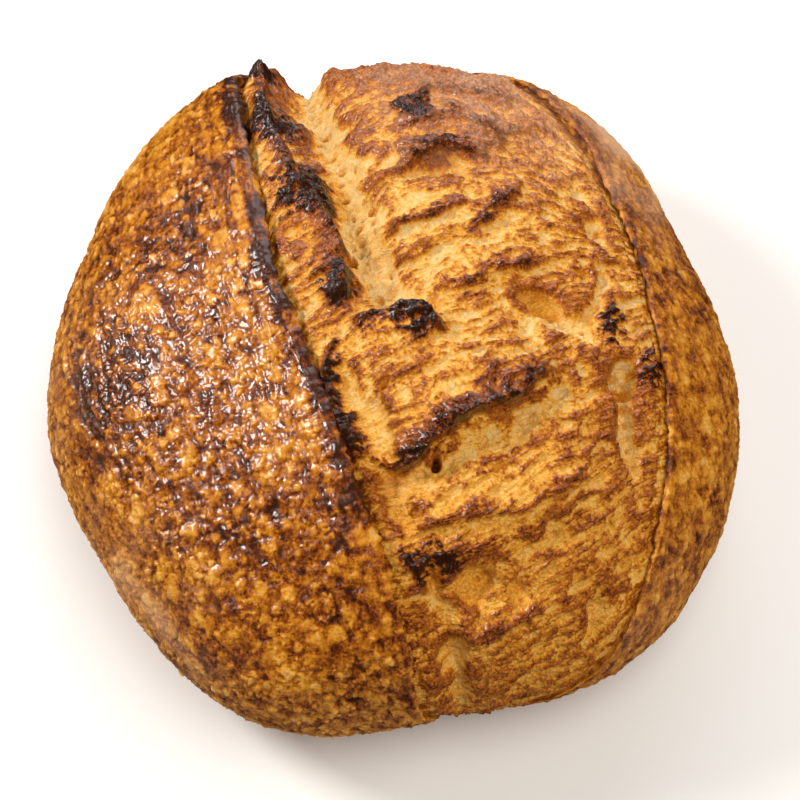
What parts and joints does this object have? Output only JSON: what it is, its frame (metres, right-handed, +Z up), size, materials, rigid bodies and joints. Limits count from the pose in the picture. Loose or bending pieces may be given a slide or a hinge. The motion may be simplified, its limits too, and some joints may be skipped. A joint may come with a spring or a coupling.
{
  "type": "country sourdough loaf",
  "caption": "Round free-standing sourdough loaf with one long burst score, a raised dark ear and a torn open bloom.",
  "frame": {"origin": "centre of the bounding box on the surface that the loaf stands on", "axes": "+Z up, +X to the right and +Y to the back for someone who sees the raised ear left of the torn bloom"},
  "size_m": [0.2422, 0.2508, 0.1115],
  "materials": {
    "crust": "baked bread crust, golden to dark brown, softly glossy blisters and matt pale crumb"
  },
  "bodies": {
    "root": {"loaf": "crust"}
  },
  "joints": []
}
